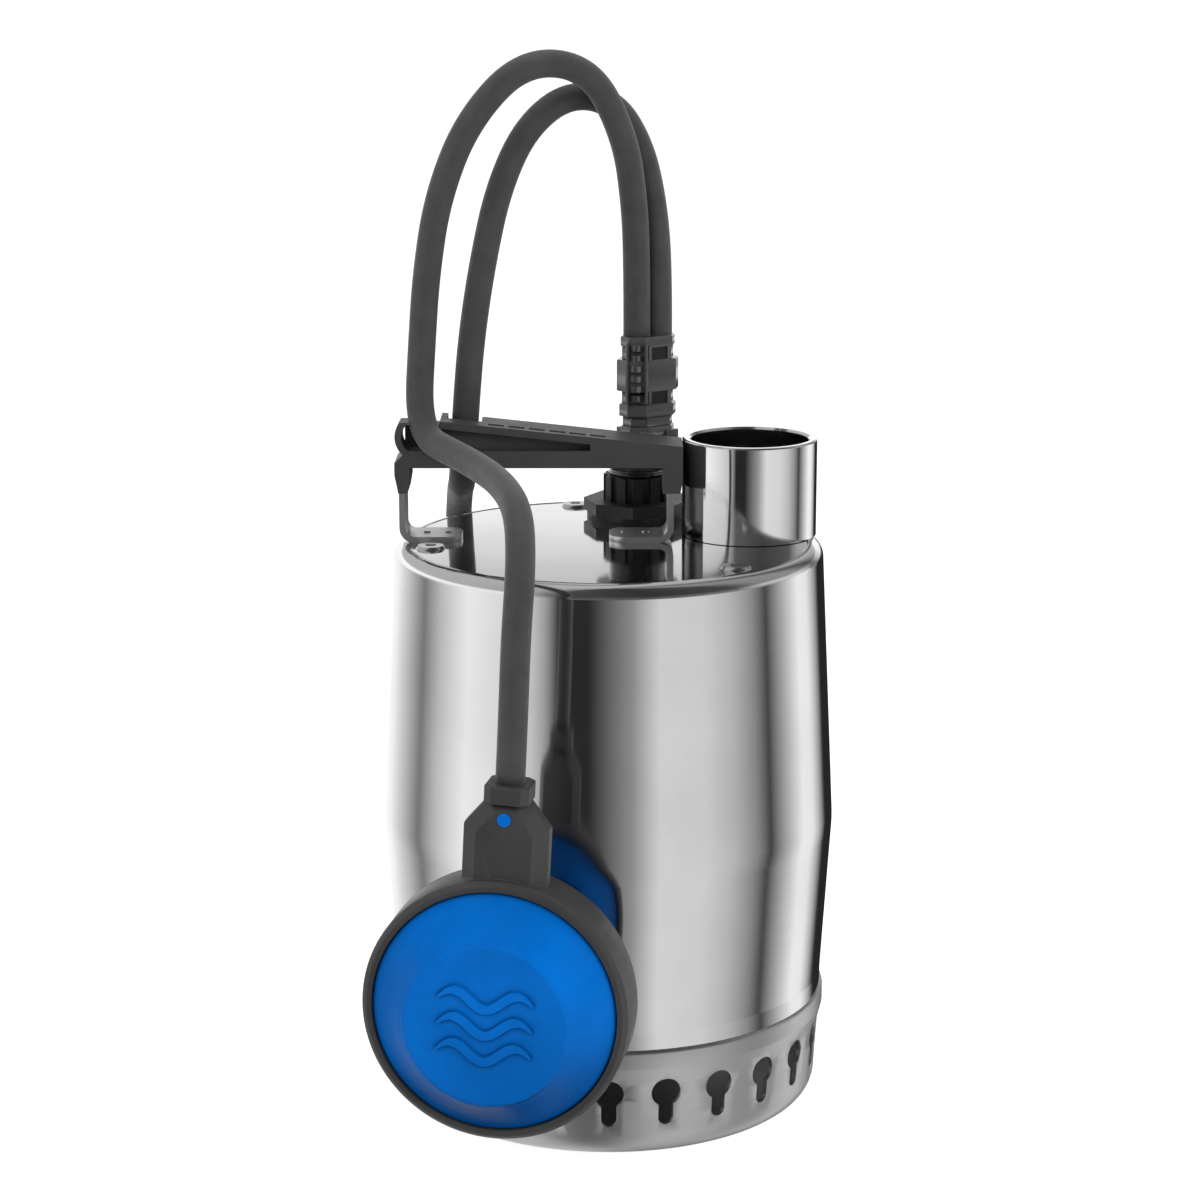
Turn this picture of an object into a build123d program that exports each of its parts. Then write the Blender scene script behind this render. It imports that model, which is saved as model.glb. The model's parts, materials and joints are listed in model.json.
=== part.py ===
"""Submersible drain pump with a tilting float switch.

Frame: +Z up, the pump stands on z = 0 and its body axis is the Z axis.  The carrying handle
runs along X, the discharge socket is on the right (+X) and the float hangs in front (-Y).
All sizes are in millimetres.
"""
from build123d import *
from math import atan, cos, degrees, pi, radians, sin, tan
import os

os.makedirs("parts", exist_ok=True)

# ---- driving dimensions ------------------------------------------------------------------
sheet = 1.5                              # wall of the drawn sleeve and strainer
touch = 0.05                             # radial running clearance of a shaft in its bearing
body_gap = 0.3                           # least room between pieces that move past each other

# outer sleeve: a skirt, a cone opening to the crease, a cone closing to the shoulder
skirt_r, skirt_z = 71.35, 43.0
sleeve_bottom = 37.5
crease_r, crease_z = 74.65, 95.5
shoulder_r, rim_z, rim_land = 70.15, 187.9, 0.15
crease_round = 45.0

# top plate, set a little below the rim of the sleeve
plate_r, plate_drop, plate_t = 65.4, 0.2, 2.0
plate_top = round(rim_z - plate_drop, 3)
plate_bottom = plate_top - plate_t
route_plate_top = 187.7                  # the plate height the cable routes are given for
lift = plate_top - route_plate_top       # what is above the plate rises with it
shoulder_round = shoulder_r - plate_r - rim_land

# discharge socket, Rp 1 1/4: the smooth bore is the thread's minor diameter
socket_x, socket_y = 46.5, 11.1
socket_r, socket_bore_r, socket_top = 22.2, 19.476, 220.0 + lift
socket_mouth, socket_round, foot_land = 0.75, 0.6, 0.5
way_r, stop_t = 15.0, 3.0                  # the way in below the thread, and its stop

# strainer cup with keyhole slots
strainer_foot_r, strainer_foot_round = 69.2, 8.0
strainer_mid_r, strainer_mid_z = 70.9, 26.0
lip_r, lip_low, lip_round = 72.3, 31.5, 1.4
keyhole_count, keyhole_r, keyhole_z = 24, 4.8, 22.5
keyhole_slot, keyhole_slot_z = 4.9, 13.85

# motor can and everything stacked along the axis
can_r, can_wall, can_bottom, can_top, can_round = 63.5, 1.2, 64.0, 172.0 + lift, 3.0
stack_r, stack_bottom, stack_top, stack_bore, air_gap = 62.3, 86.0, 126.0, 29.9, 1.3
winding_out, winding_in, winding_h, winding_round = 57.0, 34.0, 12.0, 4.0
wire_slots, wire_slot_w, liner_lip = 24, 4.0, 1.0
liner_r, liner_wall, liner_top = stack_bore, 0.6, 139.0
rotor_r, rotor_bottom, rotor_top = round(stack_bore - air_gap, 3), 85.0, 127.0
shaft_r, shaft_top, shaft_tip, shaft_chamfer = 6.0, 137.0, 1.5, 0.8
bush_r, upper_bush_z, lower_bush_z, bush_h, holder_hole_r = 11.0, 128.5, 66.0, 9.5, 3.5
shield_bottom, shield_top, shield_hub_r = 60.5, 71.0, 16.0
seal_r, seal_z, seal_h = 10.0, 60.5, 5.5
o_ring_r, groove_deep, groove_w, seal_lip = 1.15, 2.4, 3.0, 1.8

# hydraulics below the motor
suction_z, suction_t, eye_r = 33.0, 3.0, 19.0
impeller_r, impeller_disc, impeller_z = 47.0, 3.0, 56.0
vane_count, vane_t, vane_bottom = 6, 2.6, 37.0
impeller_hub, nut_h, nut_wall = 4.5, 6.0, 2.0
diffuser_r, diffuser_in, diffuser_t = 69.0, 49.5, 2.0
guide_count, guide_w = 9, 2.4
screw_head_r, screw_head_t = 4.2, 2.4
screw_ring_r, screw_count, screw_angle, screw_r = 59.0, 3, -47.5, 2.5
stay_angles = (screw_angle, 101.0, 192.5)        # the screws through the top plate
stay_head_r, stay_head_h, stay_key_r, stay_key_deep, stay_grip = 4.9, 1.0, 2.0, 0.7, 2.0
spacer_r, spacer_shift, duct_wall = 4.3, 0.9, 2.0

# handle, its two sheet brackets and the cable hook
bracket_t, bracket_y0, bracket_y1, bracket_bend = 2.0, -5.0, 11.0, 3.0
left_leg_x, left_foot_x = -68.2, -48.0
right_leg_x, right_foot_x = 21.2, 0.2
leg_top = 215.5 + lift
foot_corner, weld_r, weld_h = 5.0, 1.3, 0.5
handle_y0, handle_y1, handle_x0, handle_x1 = -6.3, 12.0, -69.5, 24.1
bar_z0, bar_z1, cuff_z = 212.7 + lift, 218.3 + lift, 204.3 + lift
flange_x0, flange_t = -54.6, 2.4
flange_z_left, flange_z_right = 228.05 + lift, 219.7 + lift
web_y0, wedge_x = -2.0, -6.0
hook_r, hook_wall, hook_y1, hook_drop, hook_plate_h = 5.6, 2.2, 3.8, 1.5, 7.0
cuff_in, clasp_w, notch_x, notch_y = 4.9, 18.0, -47.0, 2.2
grip_count, grip_x, grip_pitch, grip_length, grip_w, grip_deep = 6, -36.5, 6.6, 5.2, 3.0, 0.7

# cable gland on the plate and the two-cable boot above it
gland_x, gland_y = 10.0, 40.0
gland_flange_r, gland_flange_top = 18.4, 194.0 + lift
nut_r, nut_top, neck_r, neck_top, gland_bore = 11.6, 202.5 + lift, 9.6, 213.0 + lift, 7.0
boot_x, boot_y, boot_turn = 13.25, 39.75, 36.3
clasp_r, clasp_z = 14.0, 210.2 + lift

# float switch: centre, the way its face looks and its slight lean
float_x, float_y, float_z = -33.1, -105.0, 66.7
float_yaw, float_lean = 10.5, 3.0
float_r, band_half, band_wall = 41.0, 9.5, 3.4
shell_disc_r, shell_rise, shell_wall = 25.0, 12.0, 2.0
neck_half, neck_depth, neck_shoulder, neck_end, neck_bevel = 13.1, 6.5, 56.5, 64.2, 4.2
neck_top_bevel, band_chamfer, marker_up, marker_r, marker_h = 2.2, 1.4, 59.7, 2.1, 0.35
collar_half, collar_h, collar_bevel = 6.9, 5.6, 2.2
ball_r, ball_travel, guide_wall, guide_floor = 7.0, 12.0, 1.6, -30.0
plunger_r, plunger_travel = 1.5, 1.2

# cables
cable_d = 9.0
pivot = (-61.5, -2.5, 224.3 + lift)      # the float cable flexes in the hook about here

# the float cable in three lengths: from the boot over the top, round the hook, out to the float
float_loop = [
    (9.5, 37, 250), (9.5, 37, 270), (8.8, 34.7, 293), (5.5, 30.5, 316.5), (-6, 23, 339.3),
    (-27.3, 15, 342), (-45.2, 9.5, 323.4), (-55, 6.5, 299.2), (-59, 4, 274), (-60.6, 1.4, 250),
    (-61.1, 0.1, 241)]
hook_bend = [(-61.1, 0.1, 241), (-61.6, -1.2, 232), (-58.5, -7, 222.3), (-55.25, -12.5, 221.65)]
float_drop = [
    (-55.25, -12.5, 221.65), (-52, -18, 221), (-41.3, -38, 219.3), (-32.5, -62, 218),
    (-27, -86, 214.3), (-26, -101, 202), (-27.6, -105.5, 180)]
# the mains cable: over, down through the notch of the handle, over the rim and to the floor
mains_route = [
    (17, 42.5, 250), (17, 42.5, 272), (15.3, 42.8, 293), (11, 41.2, 312.4), (2, 38.5, 327.3),
    (-13, 33.5, 330.5), (-27, 27.5, 319.8), (-36, 22, 300.5), (-41.2, 16, 276.6),
    (-44.7, 11, 253.7), (-46.5, 8.5, 233), (-47.8, 12.5, 214), (-49, 24.5, 202),
    (-50.2, 40, 198), (-51.3, 55, 191.5), (-52.5, 65, 177), (-53.5, 68.5, 154),
    (-54.5, 71, 129), (-55.5, 74, 104), (-56.8, 78, 79), (-58.5, 85, 56), (-61, 96, 35),
    (-64, 111, 18), (-66.8, 129, 8.5), (-68.3, 145, 5.8)]

# the stored length of the mains cable: a round coil on the floor behind the pump
coil_y, coil_mean_r, coil_half_w, coil_layers = 152.0, 52.0, 20.3, 4
tie_wall, tie_width, tie_angles = 1.2, 10.0, (70.0, 150.0)
coil_h = coil_layers * cable_d
plug_r, plug_body, plug_taper, plug_tail = 18.5, 22.0, 18.0, 26.0
plug_x, plug_y = -28.0, 110.0            # where the plug's round body begins, on the coil
plug_z = tie_wall + coil_h + plug_r
plug_end = plug_x + plug_taper + plug_tail
# from the top turn of the coil, round and up to the plug that lies on the coil
plug_route = [
    (58, 185.5, 32.7), (65.8, 172, 34), (68.7, 156, 37.6), (66, 140, 42.6), (58, 126, 48),
    (45.8, 115.8, 52.8), (plug_end + 15, plug_y, plug_z), (plug_end, plug_y, plug_z)]

pieces = {}


def keep(name, builder):
    """Label a finished sub-part and note it for export."""
    builder.part.label = name
    pieces[name] = builder.part


def polar(radius, angle):
    return radius * cos(radians(angle)), radius * sin(radians(angle))


def stay_spots(radius):
    """Where the screws, spacers and holes between top plate and motor can are."""
    return [polar(radius, angle) for angle in stay_angles]


def raised(point):
    """A cable point; those above the pump's rim rise with the plate."""
    x, y, z = point
    return (x, y, z + lift) if z > route_plate_top else (x, y, z)


def corner_radii(points):
    """The largest even arc for each corner: 0.45 of its shorter run over tan(half the turn)."""
    radii = []
    for before, here, after in zip(points, points[1:], points[2:]):
        run_in, run_out = Vector(*here) - Vector(*before), Vector(*after) - Vector(*here)
        half_turn = radians(run_in.get_angle(run_out)) / 2
        radii.append(0.45 * min(run_in.length, run_out.length) / tan(half_turn))
    return radii


def cord(points, name):
    """A cable's tube: straight runs joined by tangent arcs."""
    radii = corner_radii(points)
    start = Plane(origin=points[0], z_dir=Vector(*points[1]) - Vector(*points[0]))
    with BuildPart() as tube:
        with BuildLine() as route:
            FilletPolyline(*points, radius=radii)
        with BuildSketch(start):
            Circle(cable_d / 2)
        sweep(path=route.wires()[0])
    length = route.wires()[0].length
    expected = pi * cable_d ** 2 / 4 * length
    print(f"{name}: length {length:.1f}, radii {[round(r, 1) for r in radii]},"
          f" volume / section x length = {tube.part.volume / expected:.4f}")
    return tube


# ---- shell of the pump -------------------------------------------------------------------
with BuildPart() as outer_sleeve:
    with BuildSketch(Plane.XZ) as sleeve_wall:
        with BuildLine():
            Polyline(
                (skirt_r, sleeve_bottom), (skirt_r, skirt_z), (crease_r, crease_z),
                (shoulder_r, rim_z), (plate_r, rim_z), (plate_r, rim_z - sheet),
                (shoulder_r - sheet, rim_z - sheet), (crease_r - sheet, crease_z),
                (skirt_r - sheet, skirt_z), (skirt_r - sheet, sleeve_bottom), close=True)
        make_face()
        corners = sleeve_wall.vertices()
        fillet(corners.sort_by_distance((shoulder_r, rim_z))[0], shoulder_round)
        corners = sleeve_wall.vertices()
        fillet(corners.sort_by_distance((shoulder_r - sheet, rim_z - sheet))[0],
               shoulder_round - sheet)
        corners = sleeve_wall.vertices()
        fillet([corners.sort_by_distance((crease_r, crease_z))[0],
                corners.sort_by_distance((crease_r - sheet, crease_z))[0]], crease_round)
    revolve(axis=Axis.Z)
keep("outer_sleeve", outer_sleeve)

with BuildPart() as top_plate:
    with BuildSketch(Plane.XY.offset(plate_bottom)):
        Circle(plate_r)
        with Locations((socket_x, socket_y)):
            Circle(way_r, mode=Mode.SUBTRACT)
        with Locations((gland_x, gland_y)):
            Circle(gland_bore, mode=Mode.SUBTRACT)
        with Locations(*stay_spots(screw_ring_r)):
            Circle(screw_r, mode=Mode.SUBTRACT)
    extrude(amount=plate_t)
    chamfer(top_plate.faces().sort_by(Axis.Z)[-1].outer_wire().edges(), 0.45)
keep("top_plate", top_plate)

with BuildPart() as discharge_socket:
    with BuildSketch(Plane.XY.offset(rim_z)):
        with Locations((socket_x, socket_y)):
            Circle(socket_r)
    extrude(amount=socket_top - rim_z)
    fillet(discharge_socket.faces().sort_by(Axis.Z)[-1].edges(), socket_round)
    with BuildSketch(Plane.XY.offset(plate_top)):     # foot that stands on the plate
        with Locations((socket_x, socket_y)):
            Circle(socket_bore_r)
        Circle(plate_r - foot_land, mode=Mode.INTERSECT)
    extrude(amount=rim_z - plate_top)
    with BuildSketch(Plane.XY.offset(plate_top)):
        with Locations((socket_x, socket_y)):
            Circle(way_r)
    extrude(amount=socket_top - plate_top, mode=Mode.SUBTRACT)
    with BuildSketch(Plane.XY.offset(rim_z + stop_t)):
        with Locations((socket_x, socket_y)):
            Circle(socket_bore_r)
    extrude(amount=socket_top - rim_z - stop_t, mode=Mode.SUBTRACT)
    chamfer(discharge_socket.faces().sort_by(Axis.Z)[-1].inner_wires()[0].edges(), socket_mouth)
keep("discharge_socket", discharge_socket)

with BuildPart() as keyhole_tool:
    with BuildSketch(Plane.YZ.offset(strainer_foot_r - 6)):
        with Locations((0, keyhole_z)):
            Circle(keyhole_r)
        with Locations((0, (keyhole_z + keyhole_slot_z) / 2)):
            Rectangle(keyhole_slot, keyhole_z - keyhole_slot_z)
        with Locations((0, keyhole_slot_z)):
            Circle(keyhole_slot / 2)
    extrude(amount=12)

with BuildPart() as strainer:
    with BuildSketch(Plane.XZ) as cup_wall:
        with BuildLine():
            Polyline(
                (0, 0), (strainer_foot_r, 0), (strainer_mid_r, strainer_mid_z),
                (lip_r, lip_low), (lip_r, sleeve_bottom), (diffuser_r, sleeve_bottom),
                (diffuser_r, lip_low), (strainer_mid_r - sheet, strainer_mid_z),
                (strainer_foot_r - sheet, sheet), (0, sheet), close=True)
        make_face()
        corners = cup_wall.vertices()
        fillet(corners.sort_by_distance((strainer_foot_r, 0))[0], strainer_foot_round)
        corners = cup_wall.vertices()
        fillet(corners.sort_by_distance((strainer_foot_r - sheet, sheet))[0],
               strainer_foot_round - sheet)
        corners = cup_wall.vertices()
        fillet([corners.sort_by_distance((lip_r, lip_low))[0],
                corners.sort_by_distance((lip_r, sleeve_bottom))[0]], lip_round)
    revolve(axis=Axis.Z)
    with PolarLocations(0, keyhole_count, start_angle=-90):
        add(keyhole_tool.part, mode=Mode.SUBTRACT)
keep("strainer", strainer)

# ---- hydraulics --------------------------------------------------------------------------
with BuildPart() as suction_plate:
    with BuildSketch(Plane.XY.offset(suction_z)):
        Circle(diffuser_r)
        Circle(eye_r, mode=Mode.SUBTRACT)
        with PolarLocations(screw_ring_r, screw_count, start_angle=screw_angle):
            Circle(screw_r, mode=Mode.SUBTRACT)
    extrude(amount=suction_t)
    eye_edge = suction_plate.edges().filter_by(GeomType.CIRCLE).group_by(Axis.Z)[0]
    fillet(eye_edge.filter_by(lambda e: abs(e.radius - eye_r) < 0.01), suction_t * 0.4)
keep("suction_plate", suction_plate)

with BuildPart() as diffuser:
    with BuildSketch(Plane.XY.offset(suction_z + suction_t)):
        Circle(diffuser_r)
        Circle(diffuser_in, mode=Mode.SUBTRACT)
        with PolarLocations(screw_ring_r, screw_count, start_angle=screw_angle):
            Circle(screw_r, mode=Mode.SUBTRACT)
    extrude(amount=diffuser_t)
    guide_z = suction_z + suction_t + diffuser_t
    with BuildSketch(Plane.XY.offset(guide_z)):
        with BuildLine(mode=Mode.PRIVATE) as guide_line:
            ThreePointArc(
                polar(diffuser_in + 1.3, 0), polar((diffuser_in + diffuser_r) / 2 - 0.8, 11),
                polar(diffuser_r - 1.5, 28))
        with PolarLocations(0, guide_count, start_angle=screw_angle + 12):
            SlotArc(guide_line.edges()[0], guide_w)
    extrude(amount=shield_bottom - guide_z)
keep("diffuser", diffuser)

with BuildPart() as suction_screws:
    with BuildSketch(Plane.XY.offset(suction_z - screw_head_t)):
        with PolarLocations(screw_ring_r, screw_count, start_angle=screw_angle):
            Circle(screw_head_r)
    extrude(amount=screw_head_t)
    with BuildSketch(Plane.XY.offset(suction_z)):
        with PolarLocations(screw_ring_r, screw_count, start_angle=screw_angle):
            Circle(screw_r)
    extrude(amount=suction_t + diffuser_t)
keep("suction_screws", suction_screws)

with BuildPart() as impeller:
    with BuildSketch(Plane.XY.offset(impeller_z)):
        Circle(impeller_r)
        Circle(shaft_r, mode=Mode.SUBTRACT)
    extrude(amount=impeller_disc)
    with BuildSketch(Plane.XY.offset(vane_bottom + nut_h)):
        Circle(shaft_r + impeller_hub)
        Circle(shaft_r, mode=Mode.SUBTRACT)
    extrude(amount=impeller_z - vane_bottom - nut_h)
    with BuildSketch(Plane.XY.offset(vane_bottom)):
        with BuildLine(mode=Mode.PRIVATE) as vane_line:
            ThreePointArc(
                polar(shaft_r + impeller_hub + 3, 0), polar(impeller_r * 0.6, -28),
                polar(impeller_r - 1.6, -72))
        with PolarLocations(0, vane_count):
            SlotArc(vane_line.edges()[0], vane_t)
    extrude(amount=impeller_z - vane_bottom)
keep("impeller", impeller)

with BuildPart() as impeller_nut:
    with BuildSketch(Plane.XY.offset(vane_bottom)):
        RegularPolygon(shaft_r + nut_wall, 6)
        Circle(shaft_r, mode=Mode.SUBTRACT)
    extrude(amount=nut_h)
keep("impeller_nut", impeller_nut)

# ---- motor -------------------------------------------------------------------------------
with BuildPart() as motor_can:
    with BuildSketch(Plane.XZ) as can_wall_section:
        with BuildLine():
            Polyline(
                (0, can_top), (can_r, can_top), (can_r, can_bottom),
                (can_r - can_wall, can_bottom), (can_r - can_wall, can_top - can_wall),
                (0, can_top - can_wall), close=True)
        make_face()
        corners = can_wall_section.vertices()
        fillet(corners.sort_by_distance((can_r, can_top))[0], can_round)
        corners = can_wall_section.vertices()
        fillet(corners.sort_by_distance((can_r - can_wall, can_top - can_wall))[0],
               can_round - can_wall)
    revolve(axis=Axis.Z)
    with BuildSketch(Plane.XY.offset(can_top)):
        with Locations((gland_x, gland_y)):
            Circle(gland_bore)
    extrude(amount=-can_wall, mode=Mode.SUBTRACT)
keep("motor_can", motor_can)

with BuildPart() as cable_duct:
    with BuildSketch(Plane.XY.offset(can_top)):
        with Locations((gland_x, gland_y)):
            Circle(gland_bore + duct_wall)
            Circle(gland_bore, mode=Mode.SUBTRACT)
    extrude(amount=plate_bottom - can_top)
keep("cable_duct", cable_duct)

with BuildPart() as motor_spacers:
    with BuildSketch(Plane.XY.offset(can_top)):
        with Locations(*stay_spots(screw_ring_r - spacer_shift)):
            Circle(spacer_r)
        with Locations(*stay_spots(screw_ring_r)):
            Circle(screw_r, mode=Mode.SUBTRACT)
    extrude(amount=plate_bottom - can_top)
keep("motor_spacers", motor_spacers)

with BuildPart() as top_screws:
    with BuildSketch(Plane.XY.offset(plate_top)):
        with Locations(*stay_spots(screw_ring_r)):
            Circle(stay_head_r)
    extrude(amount=stay_head_h, taper=35)
    with BuildSketch(Plane.XY.offset(plate_top + stay_head_h)):
        with Locations(*stay_spots(screw_ring_r)):
            RegularPolygon(stay_key_r, 6)
    extrude(amount=-stay_key_deep, mode=Mode.SUBTRACT)
    with BuildSketch(Plane.XY.offset(plate_top)):
        with Locations(*stay_spots(screw_ring_r)):
            Circle(screw_r)
    extrude(amount=can_top + stay_grip - plate_top)
keep("top_screws", top_screws)

with BuildPart() as end_shield:
    with BuildSketch(Plane.XZ):
        with BuildLine():
            Polyline(
                (seal_r, shield_bottom), (can_r, shield_bottom), (can_r, can_bottom),
                (can_r - can_wall, can_bottom), (can_r - can_wall, shield_top),
                (shield_hub_r, shield_top), (shield_hub_r, lower_bush_z + bush_h),
                (bush_r, lower_bush_z + bush_h), (bush_r, lower_bush_z), (seal_r, lower_bush_z),
                close=True)
        make_face()
    revolve(axis=Axis.Z)
    groove_z = (can_bottom + shield_top) / 2
    with BuildSketch(Plane.XZ):
        with Locations((can_r - can_wall - groove_deep / 2, groove_z)):
            Rectangle(groove_deep, groove_w)
    revolve(axis=Axis.Z, mode=Mode.SUBTRACT)
keep("end_shield", end_shield)

with BuildPart() as can_o_ring:
    with BuildSketch(Plane.XZ):
        with Locations((can_r - can_wall - groove_deep / 2, groove_z)):
            Circle(o_ring_r)
    revolve(axis=Axis.Z)
keep("can_o_ring", can_o_ring)

with BuildPart() as shaft_seal:
    with BuildSketch(Plane.XZ):
        with BuildLine():
            Polyline(
                (seal_r, seal_z), (seal_r, seal_z + seal_h), (shaft_r + seal_lip, seal_z + seal_h),
                (shaft_r + touch, seal_z + 0.6 * seal_h), (shaft_r + touch, seal_z + 0.5 * seal_h),
                (shaft_r + seal_lip, seal_z), close=True)
        make_face()
    revolve(axis=Axis.Z)
keep("shaft_seal", shaft_seal)

for name, low in (("lower_bearing_bush", lower_bush_z), ("upper_bearing_bush", upper_bush_z)):
    with BuildPart() as bush:
        with BuildSketch(Plane.XY.offset(low)):
            Circle(bush_r)
            Circle(shaft_r + touch, mode=Mode.SUBTRACT)
        extrude(amount=bush_h)
    keep(name, bush)

with BuildPart() as upper_bearing_holder:
    with BuildSketch(Plane.XY.offset(upper_bush_z)):
        Circle(liner_r - liner_wall)
        Circle(bush_r, mode=Mode.SUBTRACT)
        with PolarLocations((bush_r + liner_r) / 2, 6):
            Circle(holder_hole_r, mode=Mode.SUBTRACT)
    extrude(amount=bush_h)
keep("upper_bearing_holder", upper_bearing_holder)

with BuildPart() as rotor_liner:
    with BuildSketch(Plane.XZ):
        with BuildLine():
            Polyline(
                (0, liner_top), (liner_r, liner_top), (liner_r, shield_top + liner_lip),
                (winding_in - 1.0, shield_top + liner_lip), (winding_in - 1.0, shield_top),
                (liner_r - liner_wall, shield_top), (liner_r - liner_wall, liner_top - liner_wall),
                (0, liner_top - liner_wall), close=True)
        make_face()
    revolve(axis=Axis.Z)
keep("rotor_liner", rotor_liner)

with BuildPart() as stator_core:
    with BuildSketch(Plane.XY.offset(stack_bottom)):
        Circle(stack_r)
        Circle(stack_bore, mode=Mode.SUBTRACT)
        with PolarLocations((winding_in + winding_out) / 2 - wire_slot_w, wire_slots):
            SlotOverall((winding_out - winding_in) / 2, wire_slot_w, mode=Mode.SUBTRACT)
    extrude(amount=stack_top - stack_bottom)
keep("stator_core", stator_core)

for name, low in (("lower_winding", stack_bottom - winding_h), ("upper_winding", stack_top)):
    with BuildPart() as winding:
        with BuildSketch(Plane.XY.offset(low)):
            Circle(winding_out)
            Circle(winding_in, mode=Mode.SUBTRACT)
        extrude(amount=winding_h)
        fillet(winding.edges().filter_by(GeomType.CIRCLE), winding_round)
    keep(name, winding)

with BuildPart() as rotor_core:
    with BuildSketch(Plane.XY.offset(rotor_bottom)):
        Circle(rotor_r)
        Circle(shaft_r, mode=Mode.SUBTRACT)
    extrude(amount=rotor_top - rotor_bottom)
keep("rotor_core", rotor_core)

with BuildPart() as thrust_ring:
    with BuildSketch(Plane.XY.offset(lower_bush_z + bush_h + body_gap)):
        Circle(bush_r - 1.0)
        Circle(shaft_r, mode=Mode.SUBTRACT)
    extrude(amount=rotor_bottom - lower_bush_z - bush_h - body_gap)
keep("thrust_ring", thrust_ring)

with BuildPart() as shaft:
    with BuildSketch(Plane.XY.offset(vane_bottom - shaft_tip)):
        Circle(shaft_r)
    extrude(amount=shaft_top - vane_bottom + shaft_tip)
    chamfer(shaft.edges().filter_by(GeomType.CIRCLE), shaft_chamfer)
keep("shaft", shaft)

tray_z, tray_t, tray_way_r, tray_ways_at = liner_top, 2.0, 5.0, 47.0
with BuildPart() as wiring_tray:
    with BuildSketch(Plane.XY.offset(tray_z)):
        Circle(can_r - can_wall)
        with PolarLocations(tray_ways_at, 3, start_angle=30):
            Circle(tray_way_r, mode=Mode.SUBTRACT)
    extrude(amount=tray_t)
    with BuildSketch(Plane.XY.offset(tray_z)):
        Circle(can_r - can_wall)
        Circle(can_r - can_wall - tray_t, mode=Mode.SUBTRACT)
    extrude(amount=stack_top - tray_z)
keep("wiring_tray", wiring_tray)

capacitor_r, capacitor_length, capacitor_y = 13.0, 56.0, -22.0
with BuildPart() as run_capacitor:
    with BuildSketch(Plane.YZ.offset(-capacitor_length / 2)):
        with Locations((capacitor_y, tray_z + tray_t + capacitor_r)):
            Circle(capacitor_r)
    extrude(amount=capacitor_length)
    fillet(run_capacitor.edges().filter_by(GeomType.CIRCLE), 1.5)
keep("run_capacitor", run_capacitor)

block_x, block_y, block_length, block_w, block_h = gland_x - 14, gland_y - 24, 36.0, 13.0, 12.0
ways, way_pitch, wire_hole_r, wire_hole_deep = 4, 9.0, 2.2, 8.0
with BuildPart() as terminal_block:
    with BuildSketch(Plane.XY.offset(tray_z + tray_t)):
        with Locations((block_x, block_y)):
            Rectangle(block_length, block_w)
    extrude(amount=block_h)
    with BuildSketch(Plane.XY.offset(tray_z + tray_t + block_h)):
        with Locations((block_x, block_y)):
            with GridLocations(way_pitch, 0, ways, 1):
                Circle(wire_hole_r)
    extrude(amount=-wire_hole_deep, mode=Mode.SUBTRACT)
keep("terminal_block", terminal_block)

# ---- brackets and handle -----------------------------------------------------------------


def bracket(leg_x, foot_x):
    """An L of sheet in the XZ plane: leg up from its outer corner, foot along the plate."""
    inward = 1 if foot_x > leg_x else -1
    with BuildPart() as angle:
        with BuildSketch(Plane.XZ.offset(-bracket_y1)) as outline:
            with BuildLine():
                Polyline(
                    (leg_x, plate_top), (foot_x, plate_top), (foot_x, plate_top + bracket_t),
                    (leg_x + inward * bracket_t, plate_top + bracket_t),
                    (leg_x + inward * bracket_t, leg_top), (leg_x, leg_top), close=True)
            make_face()
            corners = outline.vertices()
            inner = (leg_x + inward * bracket_t, plate_top + bracket_t)
            fillet(corners.sort_by_distance((leg_x, plate_top))[0], bracket_bend + bracket_t)
            corners = outline.vertices()
            fillet(corners.sort_by_distance(inner)[0], bracket_bend)
        extrude(amount=bracket_y1 - bracket_y0)
        foot_end = angle.edges().filter_by(Axis.Z).sort_by_distance((foot_x, 0, plate_top))
        fillet(foot_end[:2], foot_corner)
        middle = ((leg_x + foot_x) / 2 + inward * 2, (bracket_y0 + bracket_y1) / 2)
        with BuildSketch(Plane.XY.offset(plate_top + bracket_t)):      # two spot welds
            with Locations(middle):
                with GridLocations(7, 0, 2, 1):
                    Circle(weld_r)
        extrude(amount=weld_h, taper=40)
    return angle


bracket_left = bracket(left_leg_x, left_foot_x)
keep("bracket_left", bracket_left)
bracket_right = bracket(right_leg_x, right_foot_x)
keep("bracket_right", bracket_right)

flange_slope = (flange_z_left - flange_z_right) / (handle_x1 - flange_x0)
wedge_z = flange_z_right + (handle_x1 - wedge_x) * flange_slope - flange_t
handle_depth = handle_y1 - handle_y0
back_plane = Plane.XZ.offset(-handle_y1)          # its +z runs to the front, towards -Y
hook_plate_x = (handle_x0 + 3.0 + flange_x0) / 2

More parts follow.
